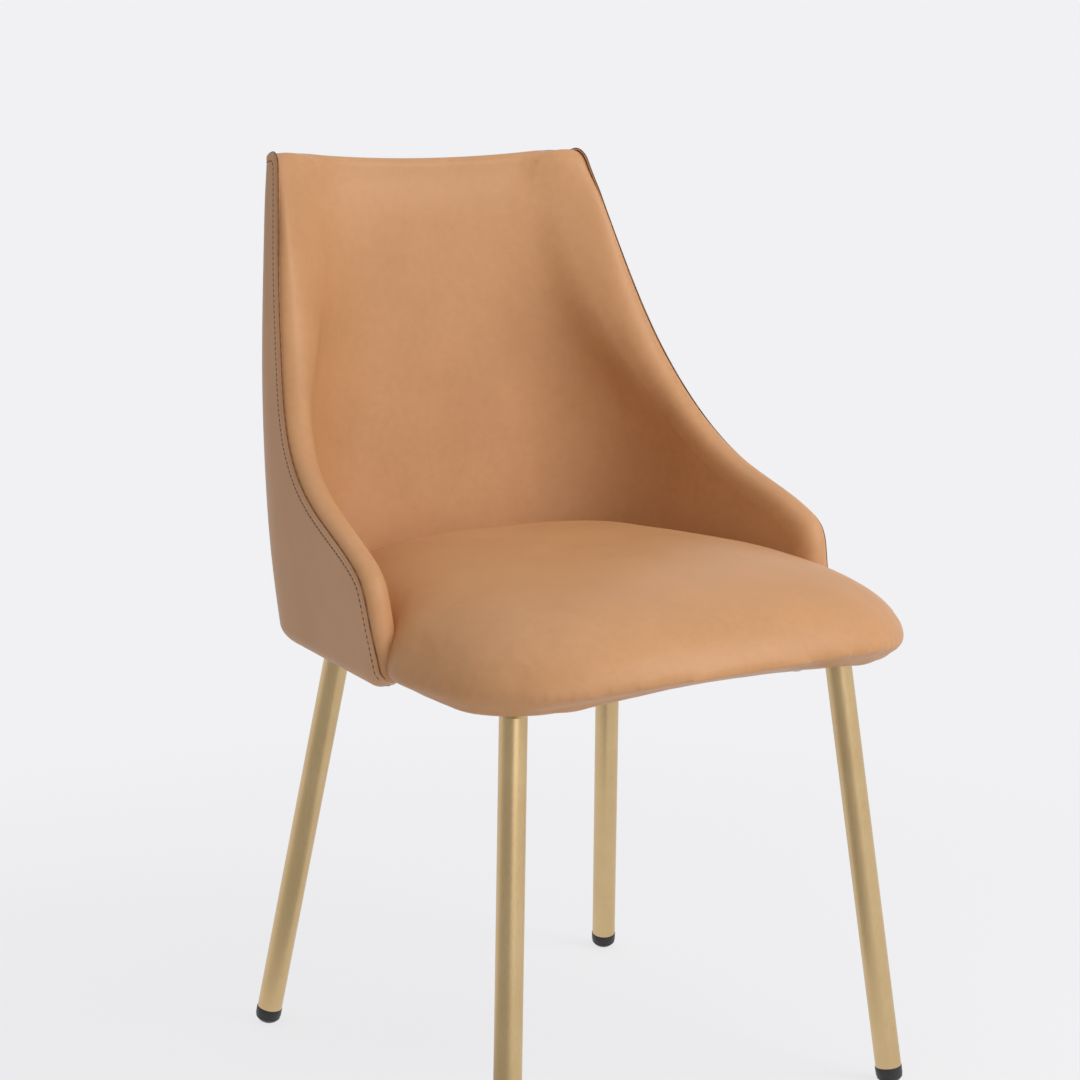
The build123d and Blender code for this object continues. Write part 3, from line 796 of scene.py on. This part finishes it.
def cloth_outline(inset):
    """Right half of the dust cloth's cut, from the middle of its front to that of its rear."""
    width, front, radius = CLOTH_HALF_WIDTH - inset, CLOTH_FRONT + inset, CLOTH_CORNER - inset
    turns = np.linspace(0, pi / 2, CLOTH_CORNER_POINTS)
    corner_x = width - radius + radius * np.sin(turns)
    corner_y = front + radius - radius * np.cos(turns)
    corner = np.stack([corner_x, corner_y], -1)
    shell = [curve(CLOTH_SHELL_HEIGHT) - CLOTH_REAR_INSET - inset for curve in OUTER]
    rear = plan_point(shell, np.linspace(0, 1, CLOTH_REAR_POINTS), 0)
    rear = rear[rear[:, 1] > CLOTH_STEP + inset, :2]
    step = [(width, CLOTH_STEP + inset), (rear[0, 0], CLOTH_STEP + inset)]
    front_run = [(x, front) for x in np.linspace(0, width - radius, CLOTH_FRONT_POINTS)[:-1]]
    return np.vstack([front_run, corner, step, rear])


def dust_cloth():
    """Black cloth stretched under the seat, a little slack in its middle; with its cut area."""
    half = cloth_outline(0)
    loop = np.vstack([half, (half * (-1, 1))[-2:0:-1]])
    ahead = np.roll(loop, -1, 0)
    area = 0.5 * abs(np.sum(loop[:, 0] * ahead[:, 1] - loop[:, 1] * ahead[:, 0]))
    closed = np.vstack([loop, loop[:1]])
    middle = np.array(CLOTH_MIDDLE)
    rings = []
    for out in np.linspace(CLOTH_FIRST_RING, 1, CLOTH_RINGS):
        slack = np.clip(1 - (out / CLOTH_SLACK_REACH) ** 2, 0, 1) ** 2
        plan = middle + out * (closed - middle)
        height = np.full(len(plan), CLOTH_HEIGHT - CLOTH_SLACK * slack)
        rings.append(np.column_stack([plan, height]))
    grid = np.array(rings)
    cloth = new_object("dust_cloth", grid.reshape(-1, 3), grid_faces(*grid.shape[:2]))
    thicken(cloth, CLOTH_THICKNESS, 0)
    size = (loop.max(0) - loop.min(0)) * MM
    return cloth, size, area * MM * MM


def cloth_staples():
    """Wire staples that hold the dust cloth along its edge."""
    edge = cloth_outline(STAPLE_INSET)
    run = lengths_along(edge)
    staples = []
    for middle in np.arange(STAPLE_PITCH / 2, run[-1], STAPLE_PITCH):
        before, after = (
            np.array([np.interp(middle + step, run, column) for column in edge.T])
            for step in (-1, 1)
        )
        along = np.append(unit(after - before), 0)
        centre = np.append((before + after) / 2, CLOTH_HEIGHT - STAPLE_DROP)
        path = centre + np.array([s * along + (0, 0, h) for s, h in STAPLE_SHAPE])
        side = unit(np.cross(along, (0, 0, 1)))
        tangent = unit(np.gradient(path, axis=0))
        side = np.broadcast_to(side, path.shape)
        staples.append(tube(path, np.cross(tangent, side), side, STAPLE_RADII))
    return mirrored_grids("cloth_staples", staples)


def linear(hex_colour):
    """Linear colour from an sRGB hex value."""
    channels = [int(hex_colour[i:i + 2], 16) / 255 for i in (1, 3, 5)]
    return [c / 12.92 if c <= 0.04045 else ((c + 0.055) / 1.055) ** 2.4 for c in channels] + [1.0]


def per_mm(size):
    """Texture scale whose pattern repeats about every so many millimetres."""
    return 1 / (size * MM)


def add(tree, kind, inputs=None, **settings):
    """Adds a shader node with its settings; an input is a value, or a socket to link from."""
    made = tree.nodes.new("ShaderNode" + kind)
    for name, value in settings.items():
        setattr(made, name, value)
    for key, value in (inputs or {}).items():
        if isinstance(value, bpy.types.NodeSocket):
            tree.links.new(value, made.inputs[key])
        else:
            made.inputs[key].default_value = value
    return made


def new_material(name, **sockets):
    """Material with a Principled shader whose sockets get the given constant values."""
    made = bpy.data.materials.new(name)
    made.use_nodes = True
    shader = made.node_tree.nodes["Principled BSDF"]
    for socket, value in sockets.items():
        shader.inputs[socket.replace("_", " ")].default_value = value
    place = add(made.node_tree, "TexCoord").outputs["Object"]
    return made, made.node_tree, shader, place


def connect(tree, shader, colour, roughness, normal=None):
    """Links a material's colour, roughness and bump to its shader."""
    for socket, name in ((colour, "Base Color"), (roughness, "Roughness"), (normal, "Normal")):
        if socket is not None:
            tree.links.new(socket, shader.inputs[name])


def tones(tree, factor, *stops):
    """Colour that runs through the given hex tones as the factor rises."""
    ramp = add(tree, "ValToRGB", {"Fac": factor})
    marks = ramp.color_ramp.elements
    while len(marks) < len(stops):
        marks.new(0.5)
    for mark, (position, colour) in zip(marks, stops):
        mark.position = position
        mark.color = linear(colour)
    return ramp.outputs["Color"]


def coated_leatherette():
    """Coated leatherette, embossed: even satin tan, with a broad soft shine over fine grain."""
    made, tree, shader, place = new_material(
        "tan_coated_leatherette", IOR=1.5, Specular_IOR_Level=0.32,
    )
    clouds = add(tree, "TexNoise", {"Vector": place, "Scale": per_mm(120), "Detail": 3.0})
    mottle = add(
        tree, "TexNoise",
        {"Vector": place, "Scale": per_mm(9), "Detail": 4.0, "Roughness": 0.6},
    )
    both = add(
        tree, "Mix",
        {"Factor": 0.35, "A": clouds.outputs["Fac"], "B": mottle.outputs["Fac"]},
    )
    colour = tones(
        tree, both.outputs["Result"], (0.36, "#b9875b"), (0.5, "#bf8c5f"), (0.64, "#c49165"),
    )
    # The real grain is about 0.5 mm across; it is drawn at 1.7 mm so that it shows in the render
    grain = add(
        tree, "TexVoronoi",
        {"Vector": place, "Scale": per_mm(1.7), "Smoothness": 0.7}, feature="SMOOTH_F1",
    )
    creases = add(
        tree, "Mapping",
        {"Vector": place, "Rotation": (0.2, radians(38), 0.3), "Scale": (1.0, 1.0, 0.12)},
    )
    crease_noise = add(
        tree, "TexNoise",
        {"Vector": creases.outputs["Vector"], "Scale": per_mm(7), "Detail": 3.0, "Distortion": 0.6},
    )
    crease_lines = add(
        tree, "MapRange",
        {"Value": crease_noise.outputs["Fac"], "From Min": 0.60, "From Max": 0.72},
        interpolation_type="SMOOTHSTEP",
    )
    shine = add(
        tree, "MapRange",
        {"Value": mottle.outputs["Fac"], "From Min": 0.3, "From Max": 0.7,
         "To Min": 0.41, "To Max": 0.5},
    )
    fine = add(
        tree, "Bump",
        {"Height": grain.outputs["Distance"], "Strength": 0.16, "Distance": 0.12 * MM},
    )
    soft = add(
        tree, "Bump",
        {"Height": clouds.outputs["Fac"], "Strength": 0.22, "Distance": 3 * MM,
         "Normal": fine.outputs["Normal"]},
    )
    bent = add(
        tree, "Bump",
        {"Height": crease_lines.outputs["Result"], "Strength": 0.10, "Distance": 0.25 * MM,
         "Normal": soft.outputs["Normal"]},
        invert=True,
    )
    connect(tree, shader, colour, shine.outputs["Result"], bent.outputs["Normal"])
    return made


def brushed_brass():
    """Brass-plated steel, brushed along its length: warm metal with fine lengthwise streaks."""
    made, tree, shader, place = new_material("brushed_brass_plated_steel", Metallic=1.0)
    long = add(tree, "Mapping", {"Vector": place, "Scale": (1.0, 1.0, 0.006)})
    streaks = add(
        tree, "TexNoise",
        {"Vector": long.outputs["Vector"], "Scale": per_mm(0.9), "Detail": 4.0, "Roughness": 0.65},
    )
    patches = add(tree, "TexNoise", {"Vector": place, "Scale": per_mm(45), "Detail": 2.0})
    both = add(
        tree, "Mix",
        {"Factor": 0.4, "A": streaks.outputs["Fac"], "B": patches.outputs["Fac"]},
    )
    colour = tones(
        tree, both.outputs["Result"], (0.3, "#c9ac7d"), (0.5, "#d0b486"), (0.7, "#d7bc8f"),
    )
    dull = add(
        tree, "MapRange",
        {"Value": streaks.outputs["Fac"], "From Min": 0.3, "From Max": 0.7,
         "To Min": 0.28, "To Max": 0.35},
    )
    lines = add(
        tree, "Bump",
        {"Height": streaks.outputs["Fac"], "Strength": 0.02, "Distance": 0.04 * MM},
    )
    connect(tree, shader, colour, dull.outputs["Result"], lines.outputs["Normal"])
    return made


def moulded_plastic():
    """Black polyethylene, injection moulded: near black, satin, with a faint eroded texture."""
    made, tree, shader, place = new_material("black_moulded_polyethylene", IOR=1.51)
    texture = add(tree, "TexNoise", {"Vector": place, "Scale": per_mm(0.8), "Detail": 3.0})
    scuffs = add(tree, "TexNoise", {"Vector": place, "Scale": per_mm(6), "Detail": 4.0})
    colour = tones(tree, scuffs.outputs["Fac"], (0.35, "#171616"), (0.7, "#262524"))
    dull = add(
        tree, "MapRange",
        {"Value": scuffs.outputs["Fac"], "From Min": 0.3, "From Max": 0.7,
         "To Min": 0.36, "To Max": 0.52},
    )
    bump = add(
        tree, "Bump",
        {"Height": texture.outputs["Fac"], "Strength": 0.2, "Distance": 0.1 * MM},
    )
    connect(tree, shader, colour, dull.outputs["Result"], bump.outputs["Normal"])
    return made


def zinc_plate():
    """Zinc-plated steel fasteners: pale grey metal, slightly blotched by the plating bath."""
    made, tree, shader, place = new_material("zinc_plated_steel", Metallic=1.0)
    blotch = add(tree, "TexVoronoi", {"Vector": place, "Scale": per_mm(2.5)})
    colour = tones(tree, blotch.outputs["Distance"], (0.1, "#b3b7bb"), (0.7, "#cfd1d3"))
    dull = add(
        tree, "MapRange",
        {"Value": blotch.outputs["Distance"], "To Min": 0.28, "To Max": 0.45},
    )
    connect(tree, shader, colour, dull.outputs["Result"])
    return made


def birch_plywood():
    """Birch plywood, sanded: pale, with fine straight grain and plies dark and light by turns."""
    made, tree, shader, place = new_material("sanded_birch_plywood", IOR=1.5)
    straight = add(tree, "Mapping", {"Vector": place, "Scale": (1.0, 0.06, 1.0)})
    grain = add(
        tree, "TexNoise",
        {"Vector": straight.outputs["Vector"], "Scale": per_mm(2.2),
         "Detail": 5.0, "Distortion": 0.4},
    )
    plies = add(
        tree, "TexWave",
        {"Vector": place, "Scale": per_mm(2.8) / 20, "Distortion": 0.3}, bands_direction="Z",
    )
    both = add(tree, "Mix", {"Factor": 0.3, "A": grain.outputs["Fac"], "B": plies.outputs["Fac"]})
    colour = tones(
        tree, both.outputs["Result"], (0.3, "#a98458"), (0.5, "#caa878"), (0.7, "#dcc195"),
    )
    bump = add(
        tree, "Bump",
        {"Height": grain.outputs["Fac"], "Strength": 0.2, "Distance": 0.15 * MM},
    )
    dull = add(tree, "MapRange", {"Value": grain.outputs["Fac"], "To Min": 0.55, "To Max": 0.7})
    connect(tree, shader, colour, dull.outputs["Result"], bump.outputs["Normal"])
    return made


def nonwoven_cloth():
    """Black non-woven polypropylene, point-bonded: matt felted fibres with rows of pressed dots."""
    made, tree, shader, place = new_material("black_nonwoven_polypropylene", Sheen_Weight=0.15)
    fibres = add(
        tree, "TexNoise",
        {"Vector": place, "Scale": per_mm(1.2), "Detail": 5.0, "Distortion": 1.5},
    )
    dots = add(
        tree, "TexVoronoi",
        {"Vector": place, "Scale": per_mm(2.4), "Randomness": 0.15}, voronoi_dimensions="2D",
    )
    colour = tones(tree, fibres.outputs["Fac"], (0.35, "#0f0f10"), (0.7, "#252527"))
    raised = add(
        tree, "Bump",
        {"Height": dots.outputs["Distance"], "Strength": 0.5, "Distance": 0.25 * MM},
    )
    felt = add(
        tree, "Bump",
        {"Height": fibres.outputs["Fac"], "Strength": 0.3, "Distance": 0.15 * MM,
         "Normal": raised.outputs["Normal"]},
    )
    dull = add(tree, "MapRange", {"Value": fibres.outputs["Fac"], "To Min": 0.78, "To Max": 0.95})
    connect(tree, shader, colour, dull.outputs["Result"], felt.outputs["Normal"])
    return made


def sewing_thread():
    """Bonded polyester thread, twisted: dark brown, with a slanted lay of plies."""
    made, tree, shader, place = new_material("brown_twisted_polyester_thread", IOR=1.5)
    slant = add(tree, "Mapping", {"Vector": place, "Rotation": (radians(40), radians(20), 0.0)})
    twist = add(
        tree, "TexWave",
        {"Vector": slant.outputs["Vector"], "Scale": per_mm(0.8) / 20, "Distortion": 0.5},
    )
    colour = tones(tree, twist.outputs["Fac"], (0.2, "#5a3622"), (0.8, "#7d5236"))
    bump = add(
        tree, "Bump",
        {"Height": twist.outputs["Fac"], "Strength": 0.5, "Distance": 0.1 * MM},
    )
    dull = add(tree, "MapRange", {"Value": twist.outputs["Fac"], "To Min": 0.5, "To Max": 0.65})
    connect(tree, shader, colour, dull.outputs["Result"], bump.outputs["Normal"])
    return made


panel = outer_panel()
cover = inner_back()
cushion = seat_cushion()
swell(cushion)
pucker(cushion)
drop_lip(cushion)
stitching = seam_stitching()
shade_cord = seam_shade_cord()
sleeves = foot_sleeves()
cloth, cloth_size, cloth_area = dust_cloth()
staples = cloth_staples()

leather = coated_leatherette()
brass = brushed_brass()
plastic = moulded_plastic()
zinc = zinc_plate()
plywood = birch_plywood()
felt = nonwoven_cloth()
thread = sewing_thread()

for piece, finish, slot, nodes in (
    (panel, leather, "leatherette", ["outer_cover"]),
    (cover, leather, "leatherette", ["inner_cover", "back_foam"]),
    (cushion, leather, "leatherette", ["seat_cover", "seat_foam"]),
    (stitching, thread, "leatherette", []),
    # The seam cord takes the dark thread colour as painted shade of the groove between lip and roll
    (shade_cord, thread, "leatherette", []),
    (sleeves, plastic, "black_plastic", []),
    (cloth, felt, "black_cloth", ["dust_cover"]),
    (staples, zinc, "zinc_steel", []),
):
    piece.data.materials.clear()
    piece.data.materials.append(finish)
    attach(piece, "root")
    if nodes:
        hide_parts(*nodes)

FINISHES = {
    "plywood": plywood, "brass_finish_steel": brass, "zinc_steel": zinc, "black_plastic": plastic,
}
for subpart in frame["record"]["subparts"]:
    finish = FINISHES.get(subpart["material_slot"])
    if finish:
        slots = frame["nodes"][subpart["node"]].data.materials
        slots.clear()
        slots.append(finish)


# Pale surround and floor. Reflected rays see both dimmer on one side, away from the key light.
# The floor's fade from its shadow into the surround runs between two distances, in metres
BACKDROP = "#f1f1f3"
WORLD_LIGHT = 0.45
DIM_SIDE = (-0.93, -0.36, 0.0)
DIM_FROM, DIM_TO, DIM_MOST = 0.35, 0.95, 0.42
FLOOR_REACH = 20000
FLOOR_NEAR, FLOOR_FAR, FLOOR_GLOW = 0.4, 1.5, 0.84

# Soft lights: name, place, size and power in watts
LAMP_AIM = (0, 0, 500)
LAMPS = (
    ("key", (1350, -1880, 1900), 1600, 40),
    ("fill", (-450, -2400, 1200), 1600, 11),
    ("top", (200, 200, 2900), 2000, 12),
)

# Camera: place, angles in degrees, lens and sensor
CAMERA_PLACE = (-1234.35, -1836.22, 892.15)
CAMERA_AZIMUTH, CAMERA_ELEVATION = -33.29, 10.14
CAMERA_LENS, CAMERA_SENSOR = 81.465, 36


def lamp(name, place, size, power):
    """Square soft light aimed at the chair."""
    made = bpy.data.lights.new(name, "AREA")
    made.size = size * MM
    made.energy = power
    holder = bpy.data.objects.new(name, made)
    holder.location = Vector(place) * MM
    holder.rotation_euler = (Vector(LAMP_AIM) - Vector(place)).to_track_quat("-Z", "Y").to_euler()
    bpy.context.scene.collection.objects.link(holder)


def ray_kinds(tree):
    """1 for rays that look at the background, 0 for those that light; and 1 for reflected ones."""
    path = add(tree, "LightPath")
    seen = path.outputs["Is Camera Ray"]
    for kind in ("Is Glossy Ray", "Is Transmission Ray"):
        either = add(tree, "Math", {0: seen, 1: path.outputs[kind]}, operation="MAXIMUM")
        seen = either.outputs[0]
    return seen, path.outputs["Is Glossy Ray"]


def reflected_level(tree, direction, glossy):
    """Strength of the surround: 1, but less for reflected rays, away from the key light."""
    toward = add(tree, "VectorMath", {0: direction, 1: DIM_SIDE}, operation="DOT_PRODUCT")
    dim = add(
        tree, "MapRange",
        {"Value": toward.outputs["Value"], "From Min": DIM_FROM, "From Max": DIM_TO,
         "To Max": DIM_MOST},
        interpolation_type="SMOOTHSTEP",
    )
    lost = add(tree, "Math", {0: dim.outputs["Result"], 1: glossy}, operation="MULTIPLY")
    left = add(tree, "Math", {0: 1.0, 1: lost.outputs[0]}, operation="SUBTRACT")
    return left.outputs[0]


def studio_world():
    """Even pale surround that also lights the chair."""
    world = bpy.data.worlds.new("studio")
    bpy.context.scene.world = world
    world.use_nodes = True
    tree = world.node_tree
    tree.nodes.clear()
    seen, glossy = ray_kinds(tree)
    level = reflected_level(tree, add(tree, "TexCoord").outputs["Generated"], glossy)
    light = add(tree, "Background", {"Color": (1, 1, 1, 1), "Strength": WORLD_LIGHT})
    shown = add(tree, "Background", {"Color": linear(BACKDROP), "Strength": level})
    mixed = add(tree, "MixShader", {0: seen, 1: light.outputs[0], 2: shown.outputs[0]})
    add(tree, "OutputWorld", {"Surface": mixed.outputs[0]})


def studio_floor():
    """Pale matt floor with a faint shadow near the chair, running into the surround further out."""
    corners = FLOOR_REACH * np.array(((-1, -1, 0), (1, -1, 0), (1, 1, 0), (-1, 1, 0)))
    floor = new_object("floor", corners, [(0, 1, 2, 3)])
    made = bpy.data.materials.new("pale_matt_floor")
    made.use_nodes = True
    tree = made.node_tree
    tree.nodes.clear()
    place = add(tree, "TexCoord").outputs["Object"]
    distance = add(tree, "VectorMath", {0: place}, operation="LENGTH")
    fade = add(
        tree, "MapRange",
        {"Value": distance.outputs["Value"], "From Min": FLOOR_NEAR, "From Max": FLOOR_FAR,
         "To Min": FLOOR_GLOW},
        interpolation_type="SMOOTHSTEP",
    )
    seen, glossy = ray_kinds(tree)
    lit = add(tree, "Math", {0: fade.outputs["Result"], 1: glossy}, operation="MAXIMUM")
    share = add(tree, "Math", {0: lit.outputs[0], 1: seen}, operation="MULTIPLY")
    outward = add(tree, "VectorMath", {0: place}, operation="NORMALIZE")
    level = reflected_level(tree, outward.outputs["Vector"], glossy)
    matt = add(tree, "BsdfDiffuse", {"Color": linear(BACKDROP)})
    glow = add(tree, "Emission", {"Color": linear(BACKDROP), "Strength": level})
    mixed = add(tree, "MixShader", {0: share.outputs[0], 1: matt.outputs[0], 2: glow.outputs[0]})
    add(tree, "OutputMaterial", {"Surface": mixed.outputs[0]})
    floor.data.materials.append(made)


def photo_camera():
    """Camera at the photograph's viewing angle."""
    camera = bpy.data.cameras.new("camera")
    camera.sensor_width = CAMERA_SENSOR
    camera.lens = CAMERA_LENS
    holder = bpy.data.objects.new("camera", camera)
    holder.location = Vector(CAMERA_PLACE) * MM
    azimuth, elevation = radians(CAMERA_AZIMUTH), radians(CAMERA_ELEVATION)
    level = cos(elevation)
    view = Vector((-sin(azimuth) * level, cos(azimuth) * level, -sin(elevation)))
    holder.rotation_euler = view.to_track_quat("-Z", "Y").to_euler()
    bpy.context.scene.collection.objects.link(holder)
    bpy.context.scene.camera = holder


bpy.context.scene.view_settings.view_transform = "Standard"
studio_world()
studio_floor()
for name, place, size, power in LAMPS:
    lamp(name, place, size, power)
photo_camera()
